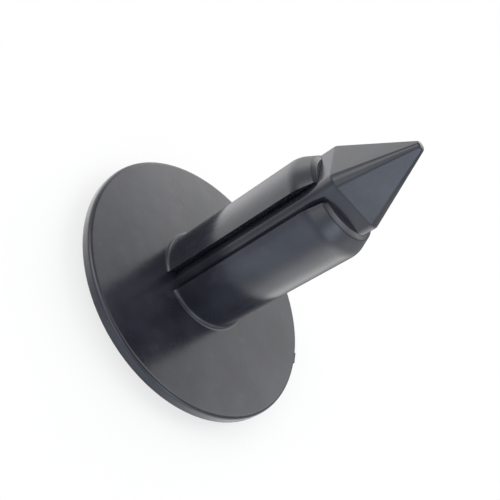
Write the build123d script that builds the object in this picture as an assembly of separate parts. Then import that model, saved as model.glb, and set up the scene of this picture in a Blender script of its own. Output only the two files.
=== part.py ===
from build123d import *
import math
import os

# Plastic push rivet in two mouldings. The sleeve has a thin round flange and a shank that one slot parts into two
# legs, and the pin is a square bar with a round head and a spear point. Two corners of the bar ride in the slot, the
# other two run in grooves inside the legs, and its flats back the legs up once it is pushed home. Millimetres, +Z
# from the pin's head to its point, and the origin at the middle of the head's outer face, on which the rivet stands.

# Sleeve: flange
flange_diameter = 20.0
flange_thickness = 0.9
rim_radius = 0.28

# Sleeve: shank and the slot across it
shank_diameter = 7.2
shank_length = 12.6
slot_width = 1.38
lead_in_length = 1.3
lead_in_half_angle = 26.5
lead_in_blend_radius = 1.6
leg_end_radius = 0.4
foot_radius = 0.3

# Sleeve: gate vestige on the flange's rim
gate_width = 1.0
gate_height = 0.55
gate_reach = 0.16
gate_azimuth = 138.4

# Pin: square bar, turned to bring two of its corners into the slot
bar_turn = 45.0
bar_across_flats = 4.6
bar_corner_radius = 0.6
bar_past_legs = 0.95
bar_clearance = 0.06

# Pin: spear point
point_full_height = 5.5
point_blunt_cut = 0.7
point_corner_radius = 0.2
point_end_radius = 0.12

# Pin: head
head_diameter = 9.0
head_thickness = 1.1
head_edge_bevel = 0.25
head_pry_bevel = 0.35
dimple_diameter = 1.6
dimple_depth = 0.2

# Levels up the axis that several pieces share
flange_back = head_thickness
flange_face = flange_back + flange_thickness
leg_end = flange_face + shank_length
bar_end = leg_end + bar_past_legs


def bar_section(across_flats, corner_radius):
    """Square with rounded corners, turned so that two of them lie in line with the slot."""
    return Rot(0, 0, bar_turn) * RectangleRounded(across_flats, across_flats, corner_radius)


def flange():
    """Thin round plate with a rounded rim."""
    with BuildPart() as plate:
        with Locations((0, 0, flange_back)):
            Cylinder(flange_diameter / 2, flange_thickness, align=(Align.CENTER, Align.CENTER, Align.MIN))
        rims = plate.edges().filter_by(GeomType.CIRCLE)
        fillet(rims, rim_radius)
    return plate.part


def shank():
    """Turned outside of the shank with its conical lead-in, still solid."""
    outer = shank_diameter / 2
    nose = outer - lead_in_length * math.tan(math.radians(lead_in_half_angle))
    root = flange_face - flange_thickness / 2
    with BuildPart() as turned:
        with BuildSketch(Plane.XZ):
            with BuildLine():
                Polyline(
                    (0, root),
                    (outer, root),
                    (outer, leg_end - lead_in_length),
                    (nose, leg_end),
                    (0, leg_end),
                    close=True,
                )
            make_face()
        revolve(axis=Axis.Z)
        rings = turned.edges().filter_by(GeomType.CIRCLE)
        fillet(rings.filter_by_position(Axis.Z, root, leg_end, (False, False)), lead_in_blend_radius)
        tips = turned.edges().filter_by(GeomType.CIRCLE).group_by(Axis.Z)[-1]
        fillet(tips, leg_end_radius)
    return turned.part


def slot():
    """Cut right across the shank that parts it into two legs, from the flange's face to the leg ends."""
    return Pos(0, 0, flange_face) * Box(
        shank_diameter + slot_width,
        slot_width,
        shank_length + slot_width,
        align=(Align.CENTER, Align.CENTER, Align.MIN),
    )


def gate_vestige():
    """Stub left on the rim where the sleeve was broken off its runner."""
    depth = gate_reach * 3
    stub = Box(depth, gate_width, gate_height, align=(Align.MAX, Align.CENTER, Align.CENTER))
    middle = flange_back + flange_thickness / 2
    return Rot(0, 0, gate_azimuth) * Pos(flange_diameter / 2 + gate_reach, 0, middle) * stub


def pin_passage():
    """Square passage through the flange and between the legs, a clearance larger than the bar."""
    hole = bar_section(bar_across_flats + 2 * bar_clearance, bar_corner_radius + bar_clearance)
    return Pos(0, 0, flange_back) * extrude(hole, amount=flange_thickness + shank_length)


def sleeve():
    """Flange and legs, moulded as one."""
    body = flange() + shank()
    foot = (
        body.edges()
        .filter_by(GeomType.CIRCLE)
        .filter_by(lambda edge: abs(edge.radius - shank_diameter / 2) < 0.01)
        .filter_by(lambda edge: abs(edge.center().Z - flange_face) < 0.01)
    )
    body = fillet(foot, foot_radius)
    body = body - slot() - pin_passage()
    return body + gate_vestige()


def pin_head():
    """Flat round head with a broken outer edge, a bevel to pry under and a gate dimple."""
    with BuildPart() as head:
        Cylinder(head_diameter / 2, head_thickness, align=(Align.CENTER, Align.CENTER, Align.MIN))
        rims = head.edges().filter_by(GeomType.CIRCLE).sort_by(Axis.Z)
        chamfer(rims[-1], head_pry_bevel)
        chamfer(rims[0], head_edge_bevel)
        with Locations((0, 0, 0)):
            Cylinder(
                dimple_diameter / 2,
                dimple_depth,
                align=(Align.CENTER, Align.CENTER, Align.MIN),
                mode=Mode.SUBTRACT,
            )
    return head.part


def spear_point():
    """Four-sided point lofted from the bar's section towards its apex and cut off blunt."""
    end_across_flats = bar_across_flats * point_blunt_cut / point_full_height
    start = bar_section(bar_across_flats, bar_corner_radius)
    end = bar_section(end_across_flats, point_corner_radius)
    reach = point_full_height - point_blunt_cut
    return loft([Pos(0, 0, bar_end) * start, Pos(0, 0, bar_end + reach) * end])


def pin():
    """Head, square bar and spear point, moulded as one."""
    section = bar_section(bar_across_flats, bar_corner_radius)
    bar = Pos(0, 0, head_thickness / 2) * extrude(section, amount=bar_end - head_thickness / 2)
    body = pin_head() + bar + spear_point()
    tip_edges = body.edges().group_by(Axis.Z)[-1]
    return fillet(tip_edges, point_end_radius)


os.makedirs("parts", exist_ok=True)
export_step(sleeve(), "parts/sleeve.step")
export_step(pin(), "parts/pin.step")
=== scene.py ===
"""Black plastic push rivet: a split sleeve with a thin round flange, and the square pin pushed home in it.

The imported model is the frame. Two pieces are modelled in its place, the sleeve and the pin, each one
moulding in blue-black nylon. The rivet stands on its pin's head, point up, on a white sheet in a tent of
soft light. Everything is in metres, +Z runs up the shank, and the slot between the two legs opens towards
+X and -X.
"""
import logging
import math
from collections.abc import Callable, Iterable
from dataclasses import dataclass, field
from enum import Enum

import bmesh
import bpy
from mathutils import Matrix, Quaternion, Vector


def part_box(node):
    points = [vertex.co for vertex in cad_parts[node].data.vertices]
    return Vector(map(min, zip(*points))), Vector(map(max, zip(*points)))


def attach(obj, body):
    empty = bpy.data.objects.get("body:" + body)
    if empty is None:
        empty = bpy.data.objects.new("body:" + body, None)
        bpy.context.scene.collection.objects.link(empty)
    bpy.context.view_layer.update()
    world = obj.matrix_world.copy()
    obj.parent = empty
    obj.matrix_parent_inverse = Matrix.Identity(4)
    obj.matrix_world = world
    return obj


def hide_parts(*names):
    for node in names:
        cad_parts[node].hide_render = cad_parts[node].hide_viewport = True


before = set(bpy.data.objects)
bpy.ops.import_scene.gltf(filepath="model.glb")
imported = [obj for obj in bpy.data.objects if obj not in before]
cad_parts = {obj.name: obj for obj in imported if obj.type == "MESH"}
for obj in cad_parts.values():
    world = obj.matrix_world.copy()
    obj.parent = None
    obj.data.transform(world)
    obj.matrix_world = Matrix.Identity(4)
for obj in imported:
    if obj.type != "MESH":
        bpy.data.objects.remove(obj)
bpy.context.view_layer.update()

log = logging.getLogger("push_rivet")

MM = 0.001
QUARTER = math.radians(90.0)

# Points closer than this count as one, and a cutter stands this far past what it cuts
TOUCH = 0.001 * MM
CUT_PAST = 1 * MM

# Bends below this angle are shaded smooth, and large faces lead the normals by this weight out of 100
SMOOTH_BELOW = math.radians(18.0)
LARGE_FACE_WEIGHT = 100

# Shares of a unit length past which a normal counts as level with Z, and an edge as upright
LEVEL_SHARE = 0.99
UPRIGHT_SHARE = 0.999

Point = tuple[float, float, float]
Span = tuple[float, float]
Profile = list[tuple[float, float]]
Colour = tuple[float, float, float, float]
Feed = bpy.types.NodeSocket | float


class Body(Enum):
    """The two mouldings, by the name of their body and CAD node."""

    SLEEVE = "sleeve"
    PIN = "pin"


class Slot(Enum):
    """Names of the record's material slots; nothing in the script reads them."""

    SLEEVE = "sleeve_plastic"
    PIN = "pin_plastic"


@dataclass(frozen=True)
class Rounding:
    """Radius of a rounded edge, and the straight runs that make its quarter or arc."""

    radius: float
    steps: int


@dataclass(frozen=True)
class BarSeat:
    """Section of the pin's bar and how it sits between the legs, a little nearer the one on -Y."""

    across: float = 4.6 * MM
    corner: Rounding = Rounding(0.75 * MM, 8)
    play: float = 0.02 * MM
    aside: float = -0.14 * MM


# Operator helpers


def deselect_all() -> None:
    """Go to object mode with nothing selected."""
    if bpy.context.object and bpy.context.object.mode != "OBJECT":
        bpy.ops.object.mode_set(mode="OBJECT")
    bpy.ops.object.select_all(action="DESELECT")


def make_active(piece: bpy.types.Object) -> None:
    """Select one object alone and make it the active one.

    Args:
        piece: the object the next operators work on.
    """
    deselect_all()
    piece.select_set(True)
    bpy.context.view_layer.objects.active = piece


def select_faces(piece: bpy.types.Object, wanted: Callable[[bmesh.types.BMFace], bool]) -> None:
    """Select the faces of the mesh in edit mode that pass a test.

    Args:
        piece: the object in edit mode.
        wanted: the test of one face.
    """
    bpy.ops.mesh.select_mode(type="FACE")
    bpy.ops.mesh.select_all(action="DESELECT")
    mesh = bmesh.from_edit_mesh(piece.data)
    for face in mesh.faces:
        if wanted(face):
            face.select_set(True)
    bmesh.update_edit_mesh(piece.data)


def select_edges(piece: bpy.types.Object, wanted: Callable[[bmesh.types.BMEdge], bool]) -> int:
    """Select the edges of the mesh in edit mode that pass a test.

    Args:
        piece: the object in edit mode.
        wanted: the test of one edge.

    Returns:
        How many edges are selected.
    """
    bpy.ops.mesh.select_mode(type="EDGE")
    bpy.ops.mesh.select_all(action="DESELECT")
    mesh = bmesh.from_edit_mesh(piece.data)
    chosen = [edge for edge in mesh.edges if wanted(edge)]
    for edge in chosen:
        edge.select_set(True)
    bmesh.update_edit_mesh(piece.data)
    return len(chosen)


def face_level(face: bmesh.types.BMFace) -> float:
    """Height of a face's middle."""
    return face.calc_center_median().z


def at_level(edge: bmesh.types.BMEdge, level: float) -> bool:
    """Whether both ends of an edge lie at a height."""
    return all(abs(vertex.co.z - level) < TOUCH for vertex in edge.verts)


def is_upright(edge: bmesh.types.BMEdge) -> bool:
    """Whether an edge runs along Z."""
    along = edge.verts[1].co - edge.verts[0].co
    return abs(along.z) > UPRIGHT_SHARE * along.length


def arc(centre: tuple[float, float], edge: Rounding, start: float, stop: float) -> Profile:
    """Points of an arc in the plane of radius and height.

    Args:
        centre: radius and height of the arc's centre.
        edge: the arc's own radius and number of straight runs.
        start: angle of the first point above the horizontal.
        stop: angle of the last point.

    Returns:
        Radius and height of each point, both ends included.
    """
    angles = [start + (stop - start) * step / edge.steps for step in range(edge.steps + 1)]
    across, up = centre
    return [(across + edge.radius * math.cos(turn), up + edge.radius * math.sin(turn)) for turn in angles]


def bevel_edges(edge: Rounding, clamp: bool = False) -> None:
    """Round the selected edges of the mesh in edit mode, or bevel them flat with a single run.

    Args:
        edge: radius and number of runs.
        clamp: whether the bevel stops short of overlapping itself.
    """
    bpy.ops.mesh.bevel(offset=edge.radius, segments=edge.steps, affect="EDGES", clamp_overlap=clamp)


def grow_rings(start: tuple[float, float], profile: Iterable[tuple[float, float]]) -> None:
    """Extrude the selected round cap ring by ring along a profile.

    Args:
        start: radius and height of the selected cap.
        profile: radius and height of each next ring.
    """
    radius, level = start
    for next_radius, next_level in profile:
        rise = {"value": (0.0, 0.0, next_level - level)}
        bpy.ops.mesh.extrude_region_move(TRANSFORM_OT_translate=rise)
        share = next_radius / radius
        bpy.ops.transform.resize(value=(share, share, 1.0), center_override=(0.0, 0.0, next_level))
        radius, level = next_radius, next_level


def apply_modifier(piece: bpy.types.Object, kind: str, **settings: object) -> None:
    """Add a modifier, set it and apply it.

    Args:
        piece: the object it works on.
        kind: Blender's name of the modifier's type.
        settings: its properties.
    """
    make_active(piece)
    modifier = piece.modifiers.new(kind.lower(), kind)
    for name, value in settings.items():
        setattr(modifier, name, value)
    bpy.ops.object.modifier_apply(modifier=modifier.name)


def cut_away(piece: bpy.types.Object, cutter: bpy.types.Object) -> None:
    """Take a cutter's shape out of a piece and delete the cutter.

    Args:
        piece: the object to cut.
        cutter: the solid to take out of it.
    """
    apply_modifier(piece, "BOOLEAN", operation="DIFFERENCE", solver="EXACT", object=cutter)
    bpy.data.objects.remove(cutter)


def fuse(piece: bpy.types.Object, other: bpy.types.Object) -> None:
    """Unite another solid with a piece and delete the other.

    Args:
        piece: the object that grows.
        other: the solid that joins it.
    """
    apply_modifier(piece, "BOOLEAN", operation="UNION", solver="EXACT", object=other)
    bpy.data.objects.remove(other)


def settle(piece: bpy.types.Object) -> None:
    """Bake a primitive's place, turn and scale into its mesh, so that its object is at the origin.

    Args:
        piece: the primitive.
    """
    make_active(piece)
    bpy.ops.object.transform_apply(location=True, rotation=True, scale=True)


def weld(piece: bpy.types.Object) -> None:
    """Merge the points that a cut leaves on top of each other.

    Args:
        piece: the object that was cut.
    """
    make_active(piece)
    bpy.ops.object.mode_set(mode="EDIT")
    bpy.ops.mesh.select_all(action="SELECT")
    bpy.ops.mesh.remove_doubles(threshold=TOUCH)
    deselect_all()


def shade(piece: bpy.types.Object) -> None:
    """Shade soft bends smooth and keep creases and flats crisp.

    Args:
        piece: the finished moulding.
    """
    make_active(piece)
    bpy.ops.object.shade_smooth_by_angle(angle=SMOOTH_BELOW)
    apply_modifier(piece, "WEIGHTED_NORMAL", keep_sharp=True, weight=LARGE_FACE_WEIGHT, mode="FACE_AREA")


def add_block(name: str, low: Point, high: Point, turn: float = 0.0) -> bpy.types.Object:
    """Add a box from corner to corner, turned about the rivet's axis.

    Args:
        name: the new object's name.
        low: lowest corner before the turn.
        high: highest corner before the turn.
        turn: angle about Z.

    Returns:
        The box, settled at the origin.
    """
    deselect_all()
    middle = [(a + b) / 2 for a, b in zip(low, high)]
    bpy.ops.mesh.primitive_cube_add(size=1.0, location=middle)
    block = bpy.context.object
    block.name = name
    block.scale = [b - a for a, b in zip(low, high)]
    settle(block)
    block.rotation_euler.z = turn
    settle(block)
    return block


def add_disc(name: str, radius: float, low: float, high: float, sides: int) -> bpy.types.Object:
    """Add an upright round plate on the rivet's axis.

    Args:
        name: the new object's name.
        radius: its outer radius.
        low: height of its lower face.
        high: height of its upper face.
        sides: number of flats round it.

    Returns:
        The plate, settled at the origin.
    """
    deselect_all()
    bpy.ops.mesh.primitive_cylinder_add(
        vertices=sides,
        radius=radius,
        depth=high - low,
        location=(0.0, 0.0, (low + high) / 2),
        rotation=(0.0, 0.0, math.pi / sides),
    )
    disc = bpy.context.object
    disc.name = name
    settle(disc)
    return disc


@dataclass(frozen=True)
class SquareRing:
    """Cross-section of the pin at one height: a square with its rounded corners towards X and Y."""

    level: float
    across: float
    corner: Rounding
    aside: float

    def add(self) -> bpy.types.Object:
        """Add the section as a closed loop of edges.

        Returns:
            The loop, settled at the origin.
        """
        deselect_all()
        bpy.ops.mesh.primitive_plane_add(size=self.across, location=(0.0, self.aside, self.level))
        loop = bpy.context.object
        loop.rotation_euler.z = QUARTER / 2
        settle(loop)
        bpy.ops.object.mode_set(mode="EDIT")
        bpy.ops.mesh.select_all(action="SELECT")
        bpy.ops.mesh.bevel(offset=self.corner.radius, segments=self.corner.steps, affect="VERTICES")
        bpy.ops.mesh.delete(type="ONLY_FACE")
        deselect_all()
        return loop


def loft(name: str, sections: list[SquareRing]) -> bpy.types.Object:
    """Bridge sections from the lowest to the highest and close both ends.

    Args:
        name: the new object's name.
        sections: the sections in order of height.

    Returns:
        The closed solid.
    """
    loops = [section.add() for section in sections]
    for loop in loops:
        loop.select_set(True)
    body = loops[0]
    bpy.context.view_layer.objects.active = body
    bpy.ops.object.join()
    body.name = name
    bpy.ops.object.mode_set(mode="EDIT")
    bpy.ops.mesh.select_all(action="SELECT")
    bpy.ops.mesh.bridge_edge_loops()
    for end in (sections[0].level, sections[-1].level):
        select_edges(body, lambda edge: at_level(edge, end))
        bpy.ops.mesh.edge_face_add()
    bpy.ops.mesh.select_all(action="SELECT")
    bpy.ops.mesh.normals_make_consistent(inside=False)
    deselect_all()
    return body


# Finishes


@dataclass(frozen=True)
class Grain:
    """Size of a noise's grain along X, Y and Z in millimetres, and its number of finer layers."""

    size: Point
    detail: float


@dataclass
class NodeSheet:
    """Node tree under construction, with short calls for the nodes the finishes share."""

    tree: bpy.types.NodeTree

    def add(self, kind: str, **settings: object) -> bpy.types.Node:
        """Add a node and set its properties.

        Args:
            kind: the node's Blender type, without its ShaderNode prefix.
            settings: properties of the node.

        Returns:
            The node.
        """
        node = self.tree.nodes.new("ShaderNode" + kind)
        for name, value in settings.items():
            setattr(node, name, value)
        return node

    def link(self, source: bpy.types.NodeSocket, target: bpy.types.NodeSocket) -> None:
        """Join an output to an input."""
        self.tree.links.new(source, target)

    def feed(self, socket: bpy.types.NodeSocket, value: Feed) -> None:
        """Link an output to an input, or set the input to a plain value.

        Args:
            socket: the input.
            value: the output or the number that it takes.
        """
        if isinstance(value, bpy.types.NodeSocket):
            self.link(value, socket)
        else:
            socket.default_value = value

    def sums(self, operation: str, first: Feed, second: Feed = 0.0) -> bpy.types.NodeSocket:
        """Do one sum on two values.

        Args:
            operation: Blender's name of the sum.
            first: an output or a number.
            second: an output or a number.

        Returns:
            The result's output.
        """
        node = self.add("Math", operation=operation)
        self.feed(node.inputs[0], first)
        self.feed(node.inputs[1], second)
        return node.outputs[0]

    def ramp(
        self, value: bpy.types.NodeSocket, span: Span, start: float, stop: float
    ) -> bpy.types.NodeSocket:
        """Map a range of a value smoothly to another range.

        Args:
            value: the output to map.
            span: where the ramp starts and ends.
            start: result at and below its start.
            stop: result at and above its end.

        Returns:
            The result's output.
        """
        node = self.add("MapRange", interpolation_type="SMOOTHSTEP")
        for name, number in zip(("From Min", "From Max", "To Min", "To Max"), (*span, start, stop)):
            node.inputs[name].default_value = number
        self.link(value, node.inputs["Value"])
        return node.outputs["Result"]

    def noise(self, grain: Grain) -> bpy.types.NodeSocket:
        """Noise on the object's own coordinates.

        Args:
            grain: its size and detail.

        Returns:
            The noise, about 0.5 on average.
        """
        place = self.add("TexCoord")
        scale = self.add("Mapping")
        scale.inputs["Scale"].default_value = [1 / (length * MM) for length in grain.size]
        self.link(place.outputs["Object"], scale.inputs["Vector"])
        cloud = self.add("TexNoise")
        cloud.inputs["Scale"].default_value = 1.0
        cloud.inputs["Detail"].default_value = grain.detail
        self.link(scale.outputs["Vector"], cloud.inputs["Vector"])
        return cloud.outputs["Fac"]


@dataclass(frozen=True)
class MouldedPlastic:
    """Blue-black nylon as it leaves the mould, with drag marks along its length and handling scuffs.

    The colour goes from dark to pale over a cloudy noise and to rubbed on the scuffs. The roughness goes
    from gloss to dulled along the drag marks and on to scuffed.
    """

    name: str
    dark: Colour = (0.015, 0.016, 0.024, 1.0)
    pale: Colour = (0.028, 0.029, 0.039, 1.0)
    rubbed: Colour = (0.037, 0.038, 0.047, 1.0)
    gloss: float = 0.17
    dulled: float = 0.23
    scuffed: float = 0.28
    index: float = 1.53
    clouds: Grain = Grain((3.0, 3.0, 3.0), 3.5)
    cloud_span: Span = (0.3, 0.7)
    drag_marks: Grain = Grain((0.16, 0.16, 5.0), 2.0)
    drag_span: Span = (0.35, 0.75)
    scuffs: Grain = Grain((1.8, 1.8, 2.6), 3.0)
    scuff_span: Span = (0.55, 0.80)
    tooth: Grain = Grain((0.09, 0.09, 0.14), 3.0)
    wave_height: float = 0.024 * MM
    tooth_height: float = 0.0009 * MM

    def material(self) -> bpy.types.Material:
        """Build the node material.

        Returns:
            The finished material.
        """
        made = bpy.data.materials.new(self.name)
        made.use_nodes = True
        sheet = NodeSheet(made.node_tree)
        shader = made.node_tree.nodes["Principled BSDF"]
        shader.inputs["IOR"].default_value = self.index
        cloud = sheet.noise(self.clouds)
        scuff = sheet.ramp(sheet.noise(self.scuffs), self.scuff_span, 0.0, 1.0)
        sheet.link(self.colour(sheet, cloud, scuff), shader.inputs["Base Color"])
        sheet.link(self.roughness(sheet, scuff), shader.inputs["Roughness"])
        sheet.link(self.relief(sheet, cloud), shader.inputs["Normal"])
        return made

    def colour(
        self, sheet: NodeSheet, cloud: bpy.types.NodeSocket, scuff: bpy.types.NodeSocket
    ) -> bpy.types.NodeSocket:
        """Mottled colour, rubbed pale on the scuffs.

        Args:
            sheet: the material's nodes.
            cloud: the cloudy noise.
            scuff: how scuffed the surface is, from 0 to 1.

        Returns:
            The colour's output.
        """
        tint = sheet.add("Mix", data_type="RGBA")
        tint.inputs["A"].default_value = self.dark
        tint.inputs["B"].default_value = self.pale
        sheet.link(sheet.ramp(cloud, self.cloud_span, 0.0, 1.0), tint.inputs["Factor"])
        worn = sheet.add("Mix", data_type="RGBA")
        sheet.link(tint.outputs["Result"], worn.inputs["A"])
        worn.inputs["B"].default_value = self.rubbed
        sheet.link(scuff, worn.inputs["Factor"])
        return worn.outputs["Result"]

    def roughness(self, sheet: NodeSheet, scuff: bpy.types.NodeSocket) -> bpy.types.NodeSocket:
        """Roughness that rises along the drag marks and on the scuffs.

        Args:
            sheet: the material's nodes.
            scuff: how scuffed the surface is, from 0 to 1.

        Returns:
            The roughness's output.
        """
        streaks = sheet.ramp(sheet.noise(self.drag_marks), self.drag_span, self.gloss, self.dulled)
        added = sheet.sums("MULTIPLY", scuff, self.scuffed - self.dulled)
        return sheet.sums("ADD", streaks, added)

    def relief(self, sheet: NodeSheet, cloud: bpy.types.NodeSocket) -> bpy.types.NodeSocket:
        """Faint waves of the moulded surface with a fine tooth on them.

        Args:
            sheet: the material's nodes.
            cloud: the cloudy noise, which sets the waves.

        Returns:
            The bent normal's output.
        """
        wave = sheet.add("Bump")
        wave.inputs["Distance"].default_value = self.wave_height
        sheet.link(cloud, wave.inputs["Height"])
        skin = sheet.add("Bump")
        skin.inputs["Distance"].default_value = self.tooth_height
        sheet.link(sheet.noise(self.tooth), skin.inputs["Height"])
        sheet.link(wave.outputs["Normal"], skin.inputs["Normal"])
        return skin.outputs["Normal"]


@dataclass(frozen=True)
class PaperFloor:
    """White sheet under the rivet, whose soft shadow fades to plain white away from it."""

    name: str = "white_sheet"
    white: Colour = (0.93, 0.93, 0.93, 1.0)
    dull: float = 0.9
    fade: Span = (9.0 * MM, 22.0 * MM)
    least_white: float = 0.7

    def material(self) -> bpy.types.Material:
        """Build the node material.

        Returns:
            The finished material.
        """
        made = bpy.data.materials.new(self.name)
        made.use_nodes = True
        sheet = NodeSheet(made.node_tree)
        paper = made.node_tree.nodes["Principled BSDF"]
        paper.inputs["Base Color"].default_value = self.white
        paper.inputs["Roughness"].default_value = self.dull
        paper.inputs["Specular IOR Level"].default_value = 0.0

        away = sheet.add("VectorMath", operation="LENGTH")
        sheet.link(sheet.add("TexCoord").outputs["Object"], away.inputs[0])
        whiteness = sheet.ramp(away.outputs["Value"], self.fade, self.least_white, 1.0)
        seen = sheet.add("LightPath").outputs["Is Camera Ray"]
        plain = sheet.add("Emission")
        blend = sheet.add("MixShader")
        sheet.link(sheet.sums("MULTIPLY", whiteness, seen), blend.inputs[0])
        sheet.link(paper.outputs[0], blend.inputs[1])
        sheet.link(plain.outputs[0], blend.inputs[2])
        sheet.link(blend.outputs[0], made.node_tree.nodes["Material Output"].inputs["Surface"])
        return made


def coat(body: bpy.types.Object, finish: MouldedPlastic | PaperFloor) -> None:
    """Give an object one finish all over.

    Args:
        body: the mesh object.
        finish: what it is made of.
    """
    body.data.materials.clear()
    body.data.materials.append(finish.material())


# Pieces

# The strip beside the slot that is kept free of lines, as a multiple of the slot's own half width
STRIP_SHARE = 1.5

# A face whose normal has this share along Y is a wall of the slot, and one with these shares outwards from
# the axis or up is on the outside of a leg
WALL_SHARE = 0.9
OUTWARD_SHARE = 0.05
UPWARD_SHARE = 0.3

# The edges that the slot leaves in the flange's face stay sharp up to this height
ABOVE_FLANGE = 0.02 * MM


@dataclass
class Sleeve:
    """Flange and two legs, moulded as one."""

    flange_thickness: float = 0.9 * MM
    rim: Rounding = Rounding(0.28 * MM, 9)
    shank_radius: float = 3.6 * MM
    foot: Rounding = Rounding(0.3 * MM, 9)
    slot_width: float = 1.38 * MM
    slot_edge: Rounding = Rounding(0.18 * MM, 3)
    slot_past_foot: float = 0.05 * MM
    lead_in_length: float = 1.3 * MM
    lead_in_angle: float = math.radians(26.5)
    lead_in_blend: Rounding = Rounding(1.6 * MM, 6)
    leg_chamfer: float = 0.30 * MM
    leg_chamfer_angle: float = math.radians(60)
    leg_outer: Rounding = Rounding(0.25 * MM, 5)
    leg_inner: Rounding = Rounding(0.15 * MM, 4)
    seat: BarSeat = BarSeat()
    gate_azimuth: float = math.radians(138.4)
    gate_size: Point = (0.48 * MM, 1.0 * MM, 0.55 * MM)
    gate_reach: float = 0.16 * MM
    gate_edge: Rounding = Rounding(0.07 * MM, 3)
    sides: int = 96
    low: Vector = field(default_factory=lambda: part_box(Body.SLEEVE.value)[0])
    high: Vector = field(default_factory=lambda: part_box(Body.SLEEVE.value)[1])

    @property
    def face(self) -> float:
        """Height of the flange's face, where the shank and the slot start."""
        return self.low.z + self.flange_thickness

    def flange(self) -> bpy.types.Object:
        """Round plate with a rounded rim.

        Returns:
            The plate in edit mode, with its upper cap selected.
        """
        plate = add_disc("sleeve_moulding", self.high.x, self.low.z, self.face, self.sides)
        bpy.ops.object.mode_set(mode="EDIT")
        select_edges(plate, lambda edge: at_level(edge, self.low.z) or at_level(edge, self.face))
        bevel_edges(self.rim)
        select_faces(plate, lambda one: one.normal.z > LEVEL_SHARE and face_level(one) > self.face - TOUCH)
        return plate

    def shank_profile(self) -> Profile:
        """Outline of the shank from the flange's face to the leg ends.

        Returns:
            Radius and height of each ring.
        """
        end = self.high.z
        slope = self.lead_in_angle
        nose = self.shank_radius - self.lead_in_length * math.tan(slope)
        foot_centre = (self.shank_radius + self.foot.radius, self.face + self.foot.radius)
        foot = arc(foot_centre, self.foot, 3 * QUARTER, 2 * QUARTER)
        bend = self.lead_in_blend.radius
        bend_centre = (self.shank_radius - bend, end - self.lead_in_length - bend * math.tan(slope / 2))
        blend = arc(bend_centre, self.lead_in_blend, 0.0, slope)
        return foot + blend + self.leg_end_profile(nose)

    def leg_end_profile(self, nose: float) -> Profile:
        """Outline of the softened chamfer that closes the lead-in.

        Args:
            nose: radius at which the lead-in's cone would reach the leg ends.

        Returns:
            Radius and height of each ring.
        """
        slope, tilt, end = self.lead_in_angle, self.leg_chamfer_angle, self.high.z
        outer, inner = self.leg_outer.radius, self.leg_inner.radius
        across, down = self.leg_chamfer * math.sin(tilt), self.leg_chamfer * math.cos(tilt)
        drop = outer * (math.sin(tilt) - math.sin(slope)) + down + inner * (1 - math.sin(tilt))
        reach = outer * (math.cos(slope) - math.cos(tilt)) + across + inner * math.cos(tilt)
        middle = nose + drop * math.tan(slope) - reach
        last = arc((middle, end - inner), self.leg_inner, tilt, QUARTER)
        radius, level = last[0][0] + across, last[0][1] - down
        first = arc(
            (radius - outer * math.cos(tilt), level - outer * math.sin(tilt)), self.leg_outer, slope, tilt
        )
        return first + last

    def clear_beside_slot(self, body: bpy.types.Object) -> None:
        """Dissolve the lines up the shank that the slot's edges would cross on the tapered leg ends.

        Args:
            body: the moulding, in edit mode.
        """
        half = self.slot_width / 2
        on_shank = math.asin(half / self.shank_radius)
        at_end = STRIP_SHARE * half / self.shank_radius

        def beside(vertex: bmesh.types.BMVert) -> bool:
            """Whether a point of the shank lies in the strip beside the slot."""
            turn = math.atan2(abs(vertex.co.y), abs(vertex.co.x))
            return on_shank < turn < at_end and vertex.co.z > self.face - TOUCH

        select_edges(body, lambda edge: all(beside(vertex) for vertex in edge.verts))
        bpy.ops.mesh.dissolve_edges(use_verts=True)

    def cut_slot(self, body: bpy.types.Object) -> None:
        """Part the shank into two legs.

        Args:
            body: the moulding with its whole shank.
        """
        reach = self.shank_radius + self.foot.radius + self.slot_past_foot
        half = self.slot_width / 2
        low, high = (-reach, -half, self.face), (reach, half, self.high.z + CUT_PAST)
        cut_away(body, add_block("slot_cutter", low, high))

    def is_slot_mouth(self, edge: bmesh.types.BMEdge) -> bool:
        """Whether an edge lies where the slot's wall meets the outside of a leg.

        Args:
            edge: an edge of the moulding.

        Returns:
            True on the outer edges of the legs, and False on the inner ones and at the flange.
        """
        half = self.slot_width / 2
        if any(abs(abs(vertex.co.y) - half) > TOUCH for vertex in edge.verts):
            return False
        middle = (edge.verts[0].co + edge.verts[1].co) / 2
        outside = [face for face in edge.link_faces if abs(face.normal.y) < WALL_SHARE]
        if len(outside) != 1 or middle.z < self.face + ABOVE_FLANGE:
            return False
        outward = Vector((middle.x, middle.y, 0.0)).normalized()
        return outside[0].normal.dot(outward) > OUTWARD_SHARE or outside[0].normal.z > UPWARD_SHARE

    def soften_slot(self, body: bpy.types.Object) -> None:
        """Round the legs' outer edges along the slot.

        Args:
            body: the moulding with both legs.
        """
        make_active(body)
        bpy.ops.object.mode_set(mode="EDIT")
        count = select_edges(body, self.is_slot_mouth)
        bevel_edges(self.slot_edge, clamp=True)
        deselect_all()
        log.info("slot edges rounded: %d", count)

    def cut_passage(self, body: bpy.types.Object) -> None:
        """Cut the square passage for the pin through the flange and between the legs.

        Args:
            body: the slotted moulding.
        """
        half = self.seat.across / 2 + self.seat.play
        below, above = self.low.z - CUT_PAST, self.high.z + CUT_PAST
        cutter = add_block("passage_cutter", (-half, -half, below), (half, half, above), QUARTER / 2)
        make_active(cutter)
        bpy.ops.object.mode_set(mode="EDIT")
        select_edges(cutter, is_upright)
        bevel_edges(Rounding(self.seat.corner.radius + self.seat.play, self.seat.corner.steps))
        deselect_all()
        cutter.location.y = self.seat.aside
        cut_away(body, cutter)

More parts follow.
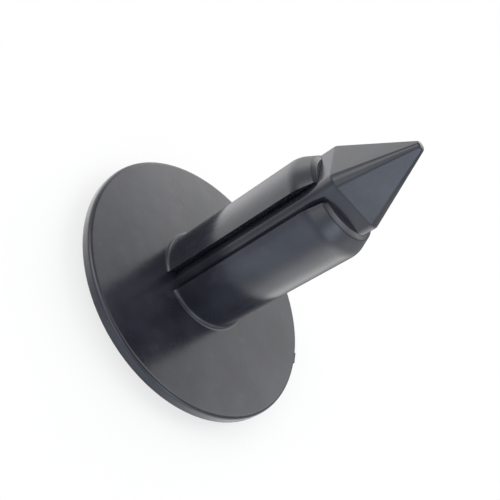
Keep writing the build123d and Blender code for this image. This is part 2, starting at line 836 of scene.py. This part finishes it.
    def gate(self) -> bpy.types.Object:
        """Stub on the rim where the sleeve was broken off its runner.

        Returns:
            The stub.
        """
        depth, width, height = self.gate_size
        outer = self.high.x + self.gate_reach
        middle = self.low.z + self.flange_thickness / 2
        stub = add_block(
            "gate_stub",
            (outer - depth, -width / 2, middle - height / 2),
            (outer, width / 2, middle + height / 2),
            self.gate_azimuth,
        )
        bpy.ops.object.mode_set(mode="EDIT")
        bpy.ops.mesh.select_all(action="SELECT")
        bevel_edges(self.gate_edge)
        deselect_all()
        return stub

    def build(self) -> bpy.types.Object:
        """Model the moulding.

        Returns:
            The finished mesh object.
        """
        body = self.flange()
        cap = self.high.x - self.rim.radius
        grow_rings((cap, self.face), self.shank_profile())
        self.clear_beside_slot(body)
        deselect_all()
        self.cut_slot(body)
        self.cut_passage(body)
        fuse(body, self.gate())
        weld(body)
        self.soften_slot(body)
        shade(body)
        return body

    def dress(self, body: bpy.types.Object, finish: MouldedPlastic) -> None:
        """Give the moulding its finish and hang it on its body.

        Args:
            body: the finished mesh object.
            finish: the plastic it is moulded in.
        """
        coat(body, finish)
        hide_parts(Body.SLEEVE.value)
        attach(body, Body.SLEEVE.value)


@dataclass
class Pin:
    """Round head, square bar and spear point, moulded as one."""

    seat: BarSeat = BarSeat()
    point_height: float = 4.8 * MM
    shoulder: Rounding = Rounding(0.5 * MM, 4)
    end_across: float = 0.585 * MM
    end_corner: float = 0.26 * MM
    end_edge: Rounding = Rounding(0.18 * MM, 6)
    end_aside: float = -0.165 * MM
    head_thickness: float = 1.1 * MM
    head_edge: Rounding = Rounding(0.25 * MM, 4)
    pry_bevel: Rounding = Rounding(0.35 * MM, 1)
    dimple_radius: float = 0.8 * MM
    dimple_depth: float = 0.2 * MM
    sides: int = 96
    low: Vector = field(default_factory=lambda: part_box(Body.PIN.value)[0])
    high: Vector = field(default_factory=lambda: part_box(Body.PIN.value)[1])

    def outline(self) -> Profile:
        """Half width and height of each section, from inside the head to the blunt end.

        Returns:
            The straight bar, the soft shoulder, the point's flanks and the rounded end.
        """
        bar, end = self.seat.across / 2, self.end_across / 2
        soft, tip = self.shoulder.radius, self.end_edge.radius
        slope = math.atan((bar - end) / self.point_height)
        bend = self.high.z - self.point_height - soft * math.tan(slope / 2)
        middle = end - tip * (1 - math.sin(slope)) / math.cos(slope)
        return [
            (bar, self.head_thickness / 2),
            *arc((bar - soft, bend), self.shoulder, 0.0, slope),
            *arc((middle, self.high.z - tip), self.end_edge, slope, QUARTER),
        ]

    def corner(self, half: float) -> Rounding:
        """Rounded corners of a section, from the bar's down to the point's.

        Args:
            half: half the section's width.

        Returns:
            Their radius and runs.
        """
        bar, end = self.seat.across / 2, self.end_across / 2
        if half < end:
            radius = self.end_corner * half / end
        else:
            share = (half - end) / (bar - end)
            radius = self.end_corner + (self.seat.corner.radius - self.end_corner) * share
        return Rounding(radius, self.seat.corner.steps)

    def aside(self, level: float) -> float:
        """How far a section lies off the axis along Y, the same up the bar and more up the point.

        Args:
            level: the section's height.

        Returns:
            Its place along Y.
        """
        along = max(0.0, 1 - (self.high.z - level) / self.point_height)
        return self.seat.aside + (self.end_aside - self.seat.aside) * along

    def bar(self) -> bpy.types.Object:
        """Square bar with rounded corners, drawn out to the spear point.

        Returns:
            The bar and its point.
        """
        sections = [
            SquareRing(level, 2 * half, self.corner(half), self.aside(level))
            for half, level in self.outline()
        ]
        return loft("pin_moulding", sections)

    def head(self) -> bpy.types.Object:
        """Flat round head with a soft edge, a bevel to pry under and a gate dimple.

        Returns:
            The head.
        """
        head = add_disc("pin_head", self.high.x, self.low.z, self.head_thickness, self.sides)
        bpy.ops.object.mode_set(mode="EDIT")
        select_edges(head, lambda edge: at_level(edge, self.head_thickness))
        bevel_edges(self.pry_bevel)
        select_edges(head, lambda edge: at_level(edge, self.low.z))
        bevel_edges(self.head_edge)
        select_faces(head, lambda one: one.normal.z < -LEVEL_SHARE)
        floor = self.low.z
        deepest = floor + self.dimple_depth
        start = (self.high.x - self.head_edge.radius, floor)
        grow_rings(start, [(self.dimple_radius, floor), (self.dimple_radius, deepest)])
        deselect_all()
        return head

    def build(self) -> bpy.types.Object:
        """Model the moulding.

        Returns:
            The finished mesh object.
        """
        body = self.bar()
        fuse(body, self.head())
        weld(body)
        shade(body)
        return body

    def dress(self, body: bpy.types.Object, finish: MouldedPlastic) -> None:
        """Give the moulding its finish and hang it on its body.

        Args:
            body: the finished mesh object.
            finish: the plastic it is moulded in.
        """
        coat(body, finish)
        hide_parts(Body.PIN.value)
        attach(body, Body.PIN.value)


# Studio

WHITE = (1.0, 1.0, 1.0, 1.0)


class Light(Enum):
    """The two colours of light in the tent."""

    PLAIN = (1.0, 1.0, 1.0)
    COOL = (0.86, 1.0, 1.18)


@dataclass(frozen=True)
class Glow:
    """Soft bright patch of the light tent round the rivet."""

    azimuth: float
    elevation: float
    tightness: float
    strength: float
    light: Light = Light.PLAIN

    def direction(self) -> Vector:
        """Unit vector from the rivet to the middle of the patch."""
        azimuth, elevation = math.radians(self.azimuth), math.radians(self.elevation)
        level = math.cos(elevation)
        return Vector((level * math.cos(azimuth), level * math.sin(azimuth), math.sin(elevation)))


TENT = (
    Glow(azimuth=269, elevation=-29, tightness=5.6, strength=2.05),
    Glow(azimuth=145, elevation=-27, tightness=24, strength=1.45),
    Glow(azimuth=109, elevation=-15, tightness=8, strength=2.2),
    Glow(azimuth=38, elevation=-23, tightness=5.4, strength=1.08, light=Light.COOL),
    Glow(azimuth=314, elevation=-28, tightness=16, strength=1.15),
    Glow(azimuth=259, elevation=12, tightness=24, strength=1.2),
    Glow(azimuth=215, elevation=24, tightness=19, strength=2.8),
    Glow(azimuth=171, elevation=36, tightness=24, strength=2.2),
    Glow(azimuth=74, elevation=28, tightness=24, strength=2.2, light=Light.COOL),
    Glow(azimuth=20, elevation=32, tightness=24, strength=1.45),
    Glow(azimuth=324, elevation=38, tightness=13, strength=2.9),
    Glow(azimuth=158, elevation=68, tightness=22, strength=2.4),
)


@dataclass
class Studio:
    """Floor, light tent and camera."""

    floor_reach: float = 2.0
    tent_level: float = 0.24
    clip_start: float = 1 * MM
    aim: Vector = field(default_factory=lambda: Vector((0.947, -2.258, 8.957)) * MM)
    distance: float = 43.10 * MM
    azimuth: float = math.radians(22.75)
    elevation: float = math.radians(29.46)
    roll: float = math.radians(56.75)
    lens: float = 46.39
    sensor: float = 36.0
    shift: tuple[float, float] = (-0.0147, -0.0883)

    def floor(self) -> None:
        """Lay a wide white sheet under the rivet. Gloss mirrors the tent's lower half in its place."""
        deselect_all()
        bpy.ops.mesh.primitive_plane_add(size=2 * self.floor_reach, location=(0.0, 0.0, 0.0))
        sheet = bpy.context.object
        sheet.name = "studio_floor"
        coat(sheet, PaperFloor())
        sheet.visible_glossy = False

    def tent(self) -> None:
        """Light everything from a pale tent with soft glows, plain white where the camera sees it."""
        world = bpy.data.worlds.new("light_tent")
        world.use_nodes = True
        sheet = NodeSheet(world.node_tree)
        ray = sheet.add("TexCoord").outputs["Generated"]
        levels: dict[Light, Feed] = {Light.PLAIN: self.tent_level, Light.COOL: 0.0}
        for glow in TENT:
            facing = sheet.add("VectorMath", operation="DOT_PRODUCT")
            sheet.link(ray, facing.inputs[0])
            facing.inputs[1].default_value = glow.direction()
            off = sheet.sums("SUBTRACT", facing.outputs["Value"], 1.0)
            fall = sheet.sums("EXPONENT", sheet.sums("MULTIPLY", off, glow.tightness))
            added = sheet.sums("MULTIPLY", fall, glow.strength)
            levels[glow.light] = sheet.sums("ADD", levels[glow.light], added)
        mixed = sheet.add("CombineColor")
        for channel, socket in enumerate(mixed.inputs):
            cool = sheet.sums("MULTIPLY", levels[Light.COOL], Light.COOL.value[channel])
            sheet.link(sheet.sums("ADD", levels[Light.PLAIN], cool), socket)
        seen = sheet.add("Mix", data_type="RGBA")
        sheet.link(sheet.add("LightPath").outputs["Is Camera Ray"], seen.inputs["Factor"])
        sheet.link(mixed.outputs["Color"], seen.inputs["A"])
        seen.inputs["B"].default_value = WHITE
        surround = world.node_tree.nodes["Background"]
        sheet.link(seen.outputs["Result"], surround.inputs["Color"])
        surround.inputs["Strength"].default_value = 1.0
        bpy.context.scene.world = world

    def camera(self) -> None:
        """Stand the camera close above the shank, rolled so that the point is up to the right."""
        level = math.cos(self.elevation)
        back = Vector((
            level * math.cos(self.azimuth), level * math.sin(self.azimuth), math.sin(self.elevation),
        ))
        deselect_all()
        bpy.ops.object.camera_add(location=self.aim + back * self.distance)
        eye = bpy.context.object
        eye.name = "camera"
        turn = (-back).to_track_quat("-Z", "Y") @ Quaternion((0.0, 0.0, 1.0), self.roll)
        eye.rotation_euler = turn.to_euler()
        eye.data.lens = self.lens
        eye.data.sensor_width = self.sensor
        eye.data.shift_x, eye.data.shift_y = self.shift
        eye.data.clip_start = self.clip_start
        bpy.context.scene.camera = eye

    def build(self) -> None:
        """Set up the whole studio."""
        self.floor()
        self.tent()
        self.camera()
        bpy.context.scene.view_settings.view_transform = "Standard"


def main() -> None:
    """Build the pieces, dress them and set up the studio."""
    logging.basicConfig(level=logging.INFO, format="%(name)s: %(message)s")
    sleeve, pin = Sleeve(), Pin()
    for maker, finish in ((sleeve, MouldedPlastic("sleeve_nylon")), (pin, MouldedPlastic("pin_nylon"))):
        piece = maker.build()
        maker.dress(piece, finish)
        log.info("%s: %d faces", piece.name, len(piece.data.polygons))
    Studio().build()


if __name__ == "__main__":
    main()
